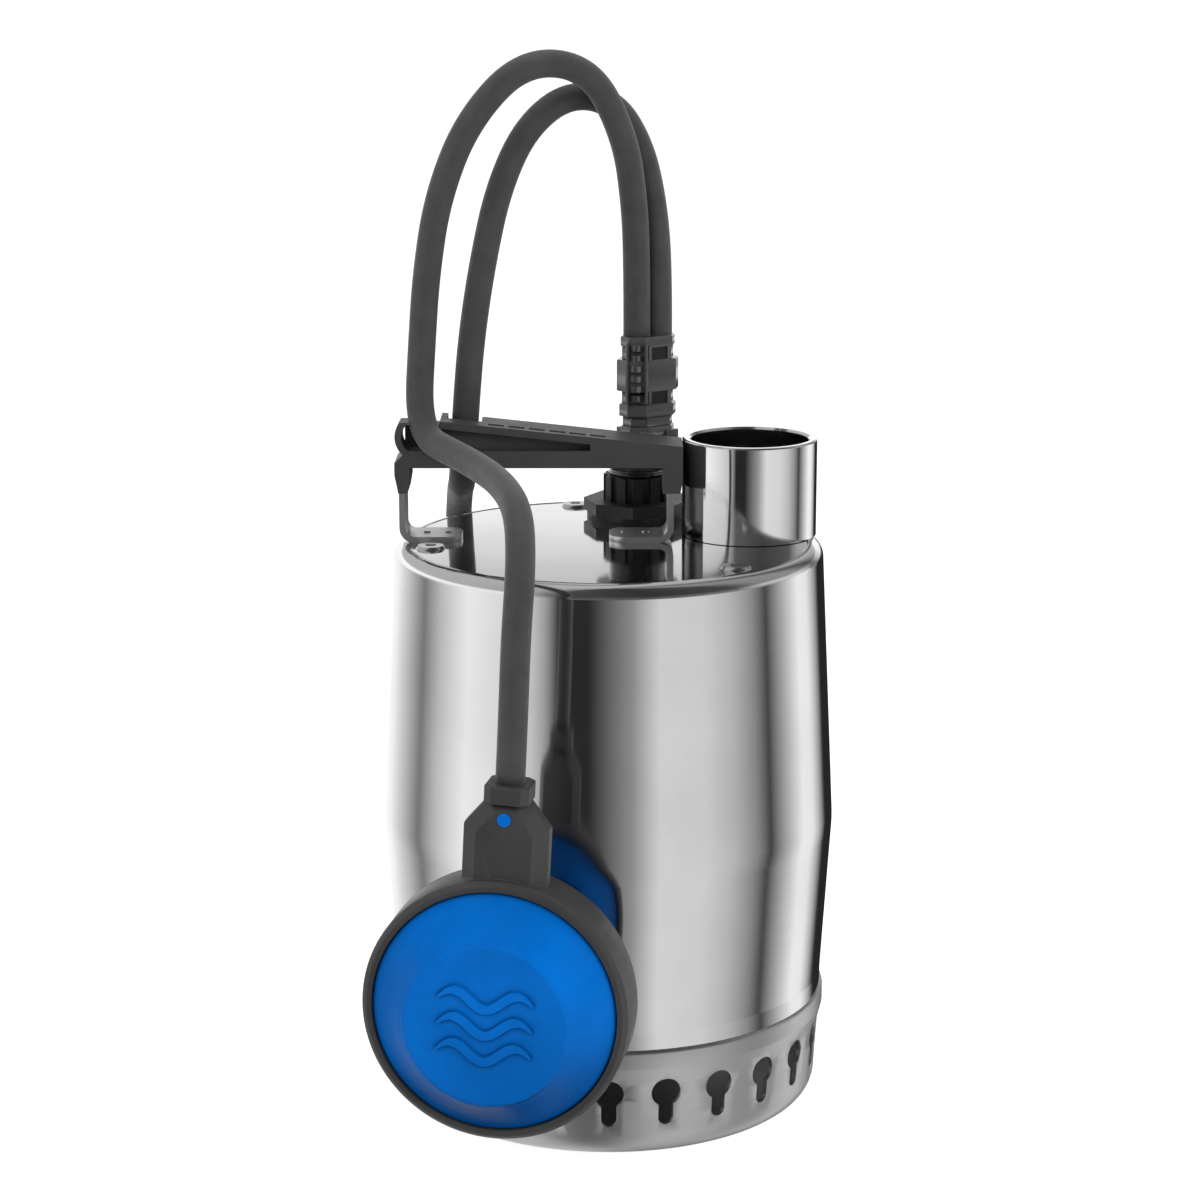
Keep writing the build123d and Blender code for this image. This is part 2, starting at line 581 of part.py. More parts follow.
with BuildPart() as handle:
    with BuildSketch(back_plane):                 # lower bar with a cuff down each leg
        with BuildLine():
            Polyline(
                (handle_x0, cuff_z + 6), (handle_x0 + 1.2, cuff_z), (handle_x0 + 4.2, cuff_z),
                (handle_x0 + cuff_in, cuff_z + 4), (handle_x0 + cuff_in, bar_z0),
                (handle_x1 - 6.5, bar_z0), (handle_x1 - 6.5, cuff_z), (handle_x1 - 0.8, cuff_z),
                (handle_x1, cuff_z + 4), (handle_x1, flange_z_right), (wedge_x, wedge_z + flange_t),
                (wedge_x, bar_z1), (handle_x0 + 4, bar_z1), (handle_x0, bar_z1 - 4), close=True)
        make_face()
    extrude(amount=handle_depth)
    with BuildSketch(back_plane):                 # inclined top flange
        with BuildLine():
            Polyline(
                (wedge_x, wedge_z), (wedge_x, wedge_z + flange_t), (flange_x0, flange_z_left),
                (flange_x0, flange_z_left - flange_t), close=True)
        make_face()
    extrude(amount=handle_depth)
    with BuildSketch(back_plane):                 # web between bar and flange, set back
        with BuildLine():
            Polyline(
                (wedge_x, bar_z1), (wedge_x, wedge_z), (flange_x0 + 0.4, flange_z_left - flange_t),
                (flange_x0 - 3.0, bar_z1), close=True)
        make_face()
    extrude(amount=handle_y1 - web_y0)
    with BuildSketch(back_plane):                 # plate behind the hook
        with Locations((hook_plate_x, bar_z1 + hook_plate_h / 2)):
            Rectangle(flange_x0 - handle_x0 - 3.0, hook_plate_h)
    extrude(amount=handle_y1 - hook_y1)
    with BuildSketch(Plane.XZ.offset(-hook_y1)):  # crescent that holds the float cable
        with Locations((pivot[0], pivot[2] - hook_drop)):
            Circle(hook_r + hook_wall)
            Circle(hook_r, mode=Mode.SUBTRACT)
            with Locations((hook_r + 1.0, 0)):
                Rectangle(2 * hook_r, 4 * hook_r, mode=Mode.SUBTRACT)
            with Locations((0, hook_r + 2.0)):
                Rectangle(8 * hook_r, hook_r, mode=Mode.SUBTRACT)
    extrude(amount=hook_y1 - handle_y0)
    with BuildSketch(Plane.XY.offset(clasp_z)):   # clasp round the neck of the gland
        with Locations((gland_x, gland_y)):
            Circle(clasp_r)
        with Locations((gland_x, (handle_y1 + gland_y) / 2 - 6)):
            Rectangle(clasp_w, gland_y - handle_y1 - 8)
        with Locations((gland_x, gland_y)):
            Circle(neck_r, mode=Mode.SUBTRACT)
    extrude(amount=bar_z0 - clasp_z)
    with BuildSketch(Plane.XY.offset(bar_z0)):    # ties the clasp to the bar
        with Locations((gland_x, handle_y1 - 4)):
            Rectangle(clasp_w, 8)
    extrude(amount=clasp_z - bar_z0)
    for leg in (left_leg_x, right_leg_x - bracket_t):      # pockets for the bracket legs
        with BuildSketch(Plane.XY.offset(cuff_z)):
            with Locations((leg + bracket_t / 2, (bracket_y0 + bracket_y1) / 2)):
                Rectangle(bracket_t, bracket_y1 - bracket_y0)
        extrude(amount=leg_top - cuff_z, mode=Mode.SUBTRACT)
    with BuildSketch(Plane.XY.offset(cuff_z)):    # notch for the mains cable, open to the back
        with Locations((notch_x, handle_y1)):
            Rectangle(cable_d + 2.2, 2 * (handle_y1 - notch_y))
    extrude(amount=flange_z_left - cuff_z, mode=Mode.SUBTRACT)
    flange_lean = -degrees(atan(flange_slope))
    with BuildSketch(Plane.XZ.offset(-grip_w / 2 - web_y0)):      # row of grip slots on top
        for slot in range(grip_count):
            slot_x = grip_x + slot * grip_pitch
            slot_z = flange_z_right + (handle_x1 - slot_x) * flange_slope
            with Locations(Location((slot_x, slot_z), flange_lean)):
                Rectangle(grip_length, 2 * grip_deep)
    extrude(amount=grip_w, mode=Mode.SUBTRACT)
keep("handle", handle)

# ---- cable gland and boot ----------------------------------------------------------------
with BuildPart() as gland_body:
    with BuildSketch(Plane.XY.offset(plate_top)):
        with Locations((gland_x, gland_y)):
            Circle(gland_flange_r - 1.2)
    extrude(amount=2.2)
    with BuildSketch(Plane.XY.offset(plate_top + 2.2)):
        with Locations(Location((gland_x, gland_y), -118 + 22.5)):
            RegularPolygon(gland_flange_r, 8)
    extrude(amount=gland_flange_top - plate_top - 2.2)
    with BuildSketch(Plane.XY.offset(gland_flange_top)):
        with Locations((gland_x, gland_y)):
            Circle(neck_r - 0.9)
    extrude(amount=neck_top - gland_flange_top)
    thread_low, pitch = nut_top, 1.9
    for turn in range(int((clasp_z - thread_low) / pitch) + 1):
        with BuildSketch(Plane.XY.offset(thread_low + turn * pitch + 0.3)):
            with Locations((gland_x, gland_y)):
                Circle(neck_r)
        extrude(amount=pitch * 0.55)
    with BuildSketch(Plane.XY.offset(clasp_z)):
        with Locations((gland_x, gland_y)):
            Circle(neck_r)
    extrude(amount=neck_top - clasp_z)
    with BuildSketch(Plane.XY.offset(plate_top)):
        with Locations((gland_x, gland_y)):
            Circle(gland_bore)
    extrude(amount=neck_top - plate_top - 1.5, mode=Mode.SUBTRACT)
keep("gland_body", gland_body)

with BuildPart() as gland_nut:
    with BuildSketch(Plane.XY.offset(gland_flange_top)):
        with Locations((gland_x, gland_y)):
            Circle(nut_r - 1.3)
            with PolarLocations(nut_r - 1.3, 12):
                Rectangle(2.6, 3.4)
            Circle(neck_r - 0.9, mode=Mode.SUBTRACT)
    extrude(amount=nut_top - gland_flange_top)
    fillet(gland_nut.faces().sort_by(Axis.Z)[-1].outer_wire().edges(), 0.4)
keep("gland_nut", gland_nut)

# the boot's section is a bevelled rectangle: (bottom, top, width, depth, bevel), low to high
boot_steps = [
    (213.0, 219.5, 20.4, 15.6, 4.0), (219.5, 223.0, 18.0, 12.4, 3.0),
    (223.0, 227.2, 20.4, 13.0, 3.0), (227.2, 231.6, 18.6, 11.6, 2.6),
    (231.6, 242.2, 22.4, 14.0, 3.0), (242.2, 246.6, 18.6, 11.6, 2.6),
    (246.6, 250.0, 19.6, 12.6, 2.6)]
boot_windows = (229.4, 244.4)


def boot_plane(height):
    return Plane((boot_x, boot_y, height)).rotated((0, 0, boot_turn))


with BuildPart() as cable_boot:
    for low, high, width, depth, bevel in boot_steps:
        with BuildSketch(boot_plane(low + lift)) as section:
            Rectangle(width, depth)
            chamfer(section.vertices(), bevel)
        extrude(amount=high - low)
    front = Plane(boot_plane(0).origin, x_dir=boot_plane(0).x_dir, z_dir=-boot_plane(0).y_dir)
    with BuildSketch(front.offset(8)):            # windows in both broad faces
        for height in boot_windows:
            with Locations((0, height + lift)):
                Rectangle(6.2, 5.0)
    extrude(amount=-4.4, mode=Mode.SUBTRACT)
    with BuildSketch(front.offset(-8)):
        for height in boot_windows:
            with Locations((0, height + lift)):
                Rectangle(6.2, 5.0)
    extrude(amount=4.4, mode=Mode.SUBTRACT)
keep("cable_boot", cable_boot)

# ---- float switch ------------------------------------------------------------------------
face_dir = Vector(-sin(radians(float_yaw)), -cos(radians(float_yaw)), 0)
level = Vector(cos(radians(float_yaw)), -sin(radians(float_yaw)), 0)
side_dir = level * cos(radians(float_lean)) - Vector(0, 0, 1) * sin(radians(float_lean))
up_dir = face_dir.cross(side_dir)
float_centre = Vector(float_x, float_y, float_z)
front_view = Plane(float_centre, x_dir=side_dir, z_dir=face_dir)      # local y is up the float
half_section = Plane(float_centre, x_dir=side_dir, z_dir=-up_dir)     # local y is out of the face
from_above = Plane(float_centre, x_dir=side_dir, z_dir=up_dir)
face_axis = Axis(float_centre, face_dir)
up_axis = Axis(float_centre, up_dir)
print("float axis up:", tuple(round(v, 5) for v in up_dir))

shell_seat = float_r - band_wall
with BuildPart() as float_body:
    with BuildSketch(half_section) as band:
        with Locations(((float_r + shell_seat) / 2, 0)):
            Rectangle(band_wall, 2 * band_half)
        chamfer(band.vertices().group_by(Axis.X)[-1], band_chamfer)
    revolve(axis=face_axis)
    switch_top, switch_h = 12.0, 11.0
    with BuildSketch(front_view.offset(-neck_depth)):
        with BuildLine():
            Polyline(
                (-neck_half, switch_top), (-neck_half, neck_shoulder), (-collar_half, neck_end),
                (collar_half, neck_end), (neck_half, neck_shoulder), (neck_half, switch_top),
                close=True)
        make_face()
    extrude(amount=2 * neck_depth)
    for front_or_back in (1, -1):
        flats = float_body.faces().filter_by(face_axis)
        panel = flats.sort_by_distance(float_centre + up_dir * neck_end
                                       + face_dir * neck_depth * front_or_back)[0]
        straight = panel.edges().filter_by(GeomType.LINE).sort_by(up_axis)
        chamfer(straight[:-1], neck_bevel)
    for front_or_back in (1, -1):
        flats = float_body.faces().filter_by(face_axis)
        panel = flats.sort_by_distance(float_centre + up_dir * neck_end
                                       + face_dir * neck_depth * front_or_back)[0]
        chamfer(panel.edges().filter_by(GeomType.LINE).sort_by(up_axis)[-1], neck_top_bevel)
keep("float_body", float_body)

with BuildPart() as float_collar:
    with BuildSketch(from_above.offset(neck_end)) as collar_section:
        Rectangle(2 * collar_half, 2 * collar_half)
        chamfer(collar_section.vertices(), collar_bevel)
    extrude(amount=collar_h)
    chamfer(float_collar.faces().sort_by(up_axis)[-1].edges(), 0.5)
keep("float_collar", float_collar)

with BuildPart() as neck_core:                    # the neck's root, which the shells clear
    with BuildSketch(front_view.offset(-neck_depth)):
        with Locations((0, (switch_top + neck_shoulder) / 2)):
            Rectangle(2 * neck_half, neck_shoulder - switch_top)
    extrude(amount=2 * neck_depth)


def shell(side):
    """One hollow blue half: a cone from the band with a raised disc; side is 1 or -1."""
    lip = band_half - 1.0
    disc = band_half + shell_rise
    with BuildPart() as half:
        with BuildSketch(half_section):
            with BuildLine():
                Polyline(
                    (0, side * disc), (shell_disc_r, side * disc),
                    (shell_disc_r + 0.6, side * (disc - 1.4)), (shell_seat, side * band_half),
                    (shell_seat, side * (lip - 4)), (shell_seat - shell_wall, side * (lip - 4)),
                    (shell_seat - shell_wall, side * (band_half - 1.2)),
                    (shell_disc_r - 0.4, side * (disc - 1.4 - shell_wall)),
                    (0, side * (disc - 1.4 - shell_wall)), close=True)
            make_face()
        revolve(axis=face_axis)
        add(neck_core.part, mode=Mode.SUBTRACT)
    return half


front_shell = shell(1)
keep("float_shell_front", front_shell)
rear_shell = shell(-1)
keep("float_shell_rear", rear_shell)

with BuildPart() as float_marker:
    with BuildSketch(front_view.offset(neck_depth)):
        with Locations((0, marker_up)):
            Circle(marker_r)
    extrude(amount=marker_h)
keep("float_marker", float_marker)

guide_top = switch_top - switch_h
ball_rest = guide_floor + guide_wall + ball_r + body_gap
ball_end = ball_rest + ball_travel + ball_r
plunger_tip = ball_end + body_gap
with BuildPart() as ball_guide:
    with BuildSketch(from_above.offset(guide_floor)):
        Circle(ball_r + body_gap + guide_wall)
    extrude(amount=guide_top - guide_floor)
    with BuildSketch(from_above.offset(guide_floor + guide_wall)):
        Circle(ball_r + body_gap)
    extrude(amount=guide_top - guide_floor - guide_wall, mode=Mode.SUBTRACT)
keep("ball_guide", ball_guide)

with BuildPart() as tilt_ball:
    with Locations(from_above.offset(ball_rest)):
        Sphere(ball_r)
keep("tilt_ball", tilt_ball)

with BuildPart() as micro_switch:
    with BuildSketch(from_above.offset(guide_top)):
        Rectangle(20.0, 10.0)
    extrude(amount=switch_h)
    with BuildSketch(from_above.offset(guide_top)):
        Circle(plunger_r + touch)
    extrude(amount=5.0, mode=Mode.SUBTRACT)
keep("micro_switch", micro_switch)

with BuildPart() as switch_plunger:
    with BuildSketch(from_above.offset(plunger_tip)):
        Circle(plunger_r)
    extrude(amount=guide_top + 5.0 - body_gap - plunger_travel - plunger_tip)
    fillet(switch_plunger.edges().filter_by(GeomType.CIRCLE).sort_by(up_axis)[0], 0.6)
keep("switch_plunger", switch_plunger)

# ---- cables ------------------------------------------------------------------------------
collar_top = float_centre + up_dir * (neck_end + collar_h)
drop_end = [tuple(collar_top + up_dir * 20), tuple(collar_top)]
for name, points in (("float_cable_loop", float_loop), ("float_cable_bend", hook_bend),
                     ("float_cable_drop", float_drop + drop_end), ("mains_cable", mains_route),
                     ("plug_cable", plug_route)):
    keep(name, cord([raised(point) for point in points], name))

coil_in = coil_mean_r - coil_half_w
coil_out = coil_mean_r + coil_half_w
with BuildPart() as mains_coil:
    with BuildSketch(Plane((0, coil_y, tie_wall))):
        Circle(coil_out)
        Circle(coil_in, mode=Mode.SUBTRACT)
    extrude(amount=coil_h)
    fillet(mains_coil.edges().filter_by(GeomType.CIRCLE), cable_d / 2 - 0.1)
keep("mains_coil", mains_coil)

with BuildPart() as coil_ties:
    for angle in tie_angles:
        tie_x, tie_y = polar(coil_mean_r, angle)
        across = Plane(
            (tie_x, coil_y + tie_y, tie_wall + coil_h / 2), x_dir=Vector(*polar(1, angle), 0),
            z_dir=Vector(*polar(1, angle + 90), 0))
        with BuildSketch(across.offset(-tie_width / 2)) as band_section:
            Rectangle(2 * (coil_half_w + tie_wall + 0.4), coil_h + 2 * tie_wall)
            fillet(band_section.vertices(), 3.0)
            with Locations((0, 0)):
                RectangleRounded(2 * (coil_half_w + 0.4), coil_h, 1.8, mode=Mode.SUBTRACT)
        extrude(amount=tie_width)
keep("coil_ties", coil_ties)

with BuildPart() as mains_plug:
    plug_side = Plane((0, plug_y, plug_z), x_dir=(1, 0, 0), z_dir=(0, -1, 0))
    with BuildSketch(plug_side):
        with BuildLine():
            Polyline(
                (plug_x - plug_body, 0), (plug_x - plug_body, plug_r - 0.8),
                (plug_x - plug_body + 0.8, plug_r), (plug_x - 2, plug_r), (plug_x, plug_r - 2),
                (plug_x + plug_taper, 10.5), (plug_end, 6.3), (plug_end, 0), close=True)
        make_face()
    revolve(axis=Axis((0, plug_y, plug_z), (1, 0, 0)))
keep("mains_plug", mains_plug)

pin_gap, pin_r, pin_length, clip_t = 19.0, 2.4, 19.0, 1.0
pin_face = Plane((plug_x - plug_body, plug_y, plug_z), x_dir=(0, 1, 0), z_dir=(-1, 0, 0))
with BuildPart() as plug_pins:
    with BuildSketch(pin_face):
        with GridLocations(pin_gap, 0, 2, 1):
            Circle(pin_r)
    extrude(amount=pin_length)
    fillet(plug_pins.faces().sort_by(Axis.X)[:2].edges(), 1.2)
keep("plug_pins", plug_pins)

with BuildPart() as plug_earth_clips:
    with BuildSketch(pin_face):
        with GridLocations(0, 2 * (plug_r - 3.5), 1, 2):
            Rectangle(6.0, clip_t)
    extrude(amount=5.0)
keep("plug_earth_clips", plug_earth_clips)

for name, piece in pieces.items():
    export_step(piece, f"parts/{name}.step")
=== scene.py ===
"""Looks of the submersible drain pump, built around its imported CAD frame.  Metres, +Z up."""
import json
from math import atan2, cos, pi, radians, sin, sqrt, tau

import bmesh
import bpy
from mathutils import Matrix, Vector
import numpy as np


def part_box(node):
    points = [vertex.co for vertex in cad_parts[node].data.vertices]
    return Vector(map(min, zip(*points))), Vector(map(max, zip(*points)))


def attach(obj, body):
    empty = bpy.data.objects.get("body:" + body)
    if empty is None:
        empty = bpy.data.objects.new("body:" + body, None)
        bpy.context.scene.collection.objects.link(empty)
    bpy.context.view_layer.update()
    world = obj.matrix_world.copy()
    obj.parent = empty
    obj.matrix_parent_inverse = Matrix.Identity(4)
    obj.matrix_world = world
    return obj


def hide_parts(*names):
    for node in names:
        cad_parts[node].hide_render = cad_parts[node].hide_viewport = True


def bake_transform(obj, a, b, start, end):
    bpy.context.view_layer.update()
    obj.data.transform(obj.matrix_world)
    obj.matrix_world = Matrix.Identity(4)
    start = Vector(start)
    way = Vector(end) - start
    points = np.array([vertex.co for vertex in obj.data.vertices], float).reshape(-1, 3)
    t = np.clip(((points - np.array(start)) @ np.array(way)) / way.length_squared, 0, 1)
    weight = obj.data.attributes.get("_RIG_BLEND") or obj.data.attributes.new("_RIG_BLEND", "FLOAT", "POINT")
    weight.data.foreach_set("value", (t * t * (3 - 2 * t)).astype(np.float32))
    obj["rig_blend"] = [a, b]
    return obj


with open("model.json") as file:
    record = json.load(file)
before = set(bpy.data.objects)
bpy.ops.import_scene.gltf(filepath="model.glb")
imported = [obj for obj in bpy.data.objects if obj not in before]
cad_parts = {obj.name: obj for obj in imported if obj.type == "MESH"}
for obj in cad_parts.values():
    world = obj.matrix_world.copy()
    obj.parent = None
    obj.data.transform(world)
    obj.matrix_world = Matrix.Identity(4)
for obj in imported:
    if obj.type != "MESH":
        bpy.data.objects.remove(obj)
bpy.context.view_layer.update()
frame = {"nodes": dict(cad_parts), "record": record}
nodes = frame["nodes"]
scene = bpy.context.scene
MM = 0.001


# ---- small builders ----------------------------------------------------------------------
def millimetres(points):
    """Points written in millimetres, as vectors in metres."""
    return [Vector(point) * MM for point in points]


def add_object(name, data):
    made = bpy.data.objects.new(name, data)
    scene.collection.objects.link(made)
    return made


def mesh_object(name, vertices, faces, smooth=True):
    """A mesh object with outward normals."""
    mesh = bpy.data.meshes.new(name)
    mesh.from_pydata([tuple(v) for v in vertices], [], faces)
    bm = bmesh.new()
    bm.from_mesh(mesh)
    bmesh.ops.recalc_face_normals(bm, faces=bm.faces)
    bm.to_mesh(mesh)
    bm.free()
    for face in mesh.polygons:
        face.use_smooth = smooth
    return add_object(name, mesh)


def modifier(piece, kind, **values):
    added = piece.modifiers.new(kind.lower(), kind)
    for name, value in values.items():
        setattr(added, name, value)
    return added


def round_edges(piece, width, segments=2, angle=35):
    """Softens the sharp edges; the smooth shading stays on the faces between them."""
    modifier(piece, "WELD", merge_threshold=1e-6)
    modifier(piece, "BEVEL", width=width, segments=segments, limit_method="ANGLE",
             angle_limit=radians(angle), harden_normals=True)


def lathe(name, profile, place, turns=96):
    """Revolves (radius, height) points about the local Z axis of place."""
    count = len(profile)
    vertices = [place @ Vector((r * cos(tau * k / turns), r * sin(tau * k / turns), h))
                for k in range(turns) for r, h in profile]
    faces = [(k * count + i, (k + 1) % turns * count + i,
              (k + 1) % turns * count + i + 1, k * count + i + 1)
             for k in range(turns) for i in range(count - 1)]
    made = mesh_object(name, vertices, faces)
    modifier(made, "WELD", merge_threshold=1e-6)
    return made


def arc(centre, radius, start, end, steps):
    """Points of an arc in the plane; angles in degrees."""
    return [(centre[0] + radius * cos(radians(start + (end - start) * i / steps)),
             centre[1] + radius * sin(radians(start + (end - start) * i / steps)))
            for i in range(steps + 1)]


def nurbs_curve(name, points):
    """An open quadratic NURBS curve with these control points."""
    curve = bpy.data.curves.new(name, "CURVE")
    curve.dimensions = "3D"
    spline = curve.splines.new("NURBS")
    spline.points.add(len(points) - 1)
    for control, point in zip(spline.points, points):
        control.co = (*point, 1)
    spline.order_u = 3
    spline.use_endpoint_u = True
    return curve


def curve_points(curve):
    """The points of a curve with no bevel, as Blender draws it."""
    carrier = bpy.data.objects.new("carrier", curve)
    line = bpy.data.meshes.new_from_object(carrier)
    points = [v.co.copy() for v in line.vertices]
    bpy.data.objects.remove(carrier)
    bpy.data.meshes.remove(line)
    return points


def tube(name, path, radius, sides=24):
    """A round mesh tube with closed ends along the path."""
    forward = [(b - a).normalized() for a, b in zip(path, path[1:])]
    tangents = [forward[0]] + [(a + b).normalized() for a, b in zip(forward, forward[1:])]
    tangents.append(forward[-1])
    across = tangents[0].orthogonal().normalized()
    vertices, faces = [], []
    for ring, (point, along) in enumerate(zip(path, tangents)):
        across = (across - along * across.dot(along)).normalized()
        up = along.cross(across)
        vertices += [point + radius * (across * cos(tau * k / sides) + up * sin(tau * k / sides))
                     for k in range(sides)]
        if ring:
            here, last = ring * sides, (ring - 1) * sides
            faces += [(last + k, last + (k + 1) % sides, here + (k + 1) % sides, here + k)
                      for k in range(sides)]
    faces += [tuple(range(sides)), tuple(range(len(vertices) - sides, len(vertices)))]
    return mesh_object(name, vertices, faces)


# ---- materials ---------------------------------------------------------------------------
class Shader:
    """A Principled material under construction."""

    def __init__(self, name, **values):
        self.material = bpy.data.materials.new(name)
        self.material.use_nodes = True
        self.tree = self.material.node_tree
        self.principled = self.tree.nodes["Principled BSDF"]
        for socket, value in values.items():
            self.principled.inputs[socket.replace("_", " ")].default_value = value

    def node(self, kind, **values):
        made = self.tree.nodes.new(kind)
        for name, value in values.items():
            setattr(made, name, value)
        return made

    def link(self, source, target):
        self.tree.links.new(source, target)

    def noise(self, scale, stretch=(1, 1, 1), detail=3.0):
        """Noise on the object's own metres; stretch multiplies the three directions."""
        place = self.node("ShaderNodeTexCoord")
        mapping = self.node("ShaderNodeMapping")
        mapping.inputs["Scale"].default_value = stretch
        made = self.node("ShaderNodeTexNoise")
        made.inputs["Scale"].default_value = scale
        made.inputs["Detail"].default_value = detail
        self.link(place.outputs["Object"], mapping.inputs["Vector"])
        self.link(mapping.outputs["Vector"], made.inputs["Vector"])
        return made.outputs["Fac"]

    def spread(self, source, low, high, socket):
        """Sends the source, spread from low to high, to a socket of the shader."""
        made = self.node("ShaderNodeMapRange")
        made.inputs["From Min"].default_value = 0.3
        made.inputs["From Max"].default_value = 0.7
        made.inputs["To Min"].default_value = low
        made.inputs["To Max"].default_value = high
        self.link(source, made.inputs["Value"])
        self.link(made.outputs["Result"], self.principled.inputs[socket])

    def tint(self, source, dark, light, painted_shade_reach=0.0):
        """Colours the surface between two colours, by the source; with a reach given, an ambient-occlusion
        node paints shade into the colour where the surface is hemmed in.
        """
        ramp = self.node("ShaderNodeValToRGB")
        ramp.color_ramp.elements[0].position = 0.3
        ramp.color_ramp.elements[1].position = 0.7
        ramp.color_ramp.elements[0].color = (*dark, 1)
        ramp.color_ramp.elements[1].color = (*light, 1)
        self.link(source, ramp.inputs["Fac"])
        colour = ramp.outputs["Color"]
        # painted shade: ambient occlusion darkens the colour near other surfaces
        if painted_shade_reach:
            painted_shade = self.node("ShaderNodeAmbientOcclusion", samples=8)
            painted_shade.inputs["Distance"].default_value = painted_shade_reach
            self.link(colour, painted_shade.inputs["Color"])
            colour = painted_shade.outputs["Color"]
        self.link(colour, self.principled.inputs["Base Color"])

    def bump(self, source, distance, strength=1.0):
        made = self.node("ShaderNodeBump")
        made.inputs["Strength"].default_value = strength
        made.inputs["Distance"].default_value = distance
        self.link(source, made.inputs["Height"])
        self.link(made.outputs["Normal"], self.principled.inputs["Normal"])


def shade(colour, factor):
    return tuple(min(1.0, part * factor) for part in colour)


def steel(name, colour, roughness, grain, swing=0.04, brushed=0.0, depth=2e-6):
    """Stainless steel: fine lines along the grain, a little roughness and tone from them.

    Brushed round the body, it smears what it reflects up and down, across its lines.
    """
    made = Shader(name, Metallic=1.0, Anisotropic=brushed, Anisotropic_Rotation=0.25)
    lines = made.noise(1.0, grain, 4.0)
    made.tint(made.noise(30.0), shade(colour, 0.94), shade(colour, 1.03))
    made.spread(lines, roughness - swing, roughness + swing, "Roughness")
    made.bump(lines, depth, 0.6)
    if brushed:
        turn = made.node("ShaderNodeTangent", direction_type="RADIAL", axis="Z")
        made.link(turn.outputs["Tangent"], made.principled.inputs["Tangent"])
    return made.material


def moulded(name, colour, roughness, grain=2600.0, depth=6e-6, coat=0.0, shine=0.5,
            painted_shade_reach=0.0):
    """Moulded plastic: fine spark-eroded grain, uneven gloss, faint tone changes; painted shade in hollows
    when a reach is given.
    """
    made = Shader(name, Coat_Weight=coat, Coat_Roughness=0.2, Specular_IOR_Level=shine)
    made.tint(made.noise(45.0), shade(colour, 0.88), shade(colour, 1.1), painted_shade_reach)
    made.spread(made.noise(90.0, detail=5.0), roughness - 0.05, roughness + 0.06, "Roughness")
    made.bump(made.noise(grain, detail=2.0), depth, 0.5)
    return made.material


def rubber(name, colour, roughness, depth=1.2e-5):
    """Vulcanised rubber: powdery, slightly mottled, with a soft sheen."""
    made = Shader(name, Sheen_Weight=0.12, Sheen_Roughness=0.5)
    made.tint(made.noise(120.0, detail=6.0), shade(colour, 0.85), shade(colour, 1.15))
    made.spread(made.noise(300.0, detail=4.0), roughness - 0.06, roughness + 0.08, "Roughness")
    made.bump(made.noise(1800.0, detail=3.0), depth, 0.5)
    return made.material


def woven(name, colour):
    """Hook-and-loop strap: a fine even weave with a fuzzy sheen."""
    made = Shader(name, Roughness=0.85, Sheen_Weight=0.4)
    weave = made.noise(1400.0, (1, 1, 2.2), 6.0)
    made.tint(weave, shade(colour, 0.6), shade(colour, 1.5))
    made.bump(weave, 2e-4, 0.7)
    return made.material


RINGS, ALONG_X, FINE = (14, 14, 2600), (30, 1900, 30), (3000, 3000, 3000)
materials = {
    "sleeve_steel": steel("sleeve_steel", (0.82, 0.82, 0.83), 0.11, RINGS, 0.02, 0.9, 8e-7),
    "plate_steel": steel("plate_steel", (0.83, 0.83, 0.84), 0.07, ALONG_X, 0.02, depth=6e-7),
    "socket_steel": steel("socket_steel", (0.88, 0.88, 0.89), 0.08, RINGS, 0.02, 0.8, 6e-7),
    "strainer_steel": steel("strainer_steel", (0.70, 0.70, 0.71), 0.46, RINGS, 0.05, 0.5),
    "bracket_steel": steel("bracket_steel", (0.85, 0.85, 0.86), 0.42, FINE, 0.05, depth=1e-6),
    "screw_steel": steel("screw_steel", (0.70, 0.70, 0.71), 0.20, FINE, 0.04, depth=1e-6),
    "inner_steel": steel("inner_steel", (0.58, 0.58, 0.60), 0.30, RINGS, 0.05),
    "laminations": steel("laminations", (0.30, 0.30, 0.32), 0.45, RINGS, 0.08, depth=2e-5),
    "winding_wire": moulded("winding_wire", (0.42, 0.16, 0.05), 0.35, 900.0, 1e-4, 0.5),
    "impeller_plastic": moulded("impeller_plastic", (0.035, 0.035, 0.04), 0.4),
    "tray_plastic": moulded("tray_plastic", (0.70, 0.69, 0.64), 0.5),
    "capacitor_shell": moulded("capacitor_shell", (0.62, 0.62, 0.60), 0.4),
    "seal_rubber": rubber("seal_rubber", (0.004, 0.004, 0.004), 0.6),
    "bearing_carbon": moulded("bearing_carbon", (0.06, 0.06, 0.065), 0.4),
    "handle_plastic": moulded("handle_plastic", (0.030, 0.030, 0.031), 0.42),
    "boot_rubber": moulded("boot_rubber", (0.030, 0.030, 0.0305), 0.18, 1500.0, 3e-6, 1.0, 1.0),
    "cable_rubber": rubber("cable_rubber", (0.027, 0.027, 0.0275), 0.58),
    "float_black": moulded("float_black", (0.027, 0.0265, 0.026), 0.38),
    # the blue gets painted shade: ambient occlusion over 8 cm darkens it where it faces other parts, such as
    # the rear shell against the sleeve
    "float_blue": moulded("float_blue", (0.0, 0.085, 0.335), 0.30, 2000.0, 1.5e-6, shine=0.04,
                          painted_shade_reach=0.08),
    "ball_steel": steel("ball_steel", (0.75, 0.75, 0.76), 0.1, FINE, 0.03),
    "switch_plastic": moulded("switch_plastic", (0.03, 0.03, 0.03), 0.45),
    "plug_rubber": rubber("plug_rubber", (0.030, 0.030, 0.031), 0.50),
    "pin_brass": steel("pin_brass", (0.78, 0.75, 0.68), 0.18, FINE, 0.04),
    "tie_plastic": woven("tie_plastic", (0.03, 0.03, 0.034)),
}
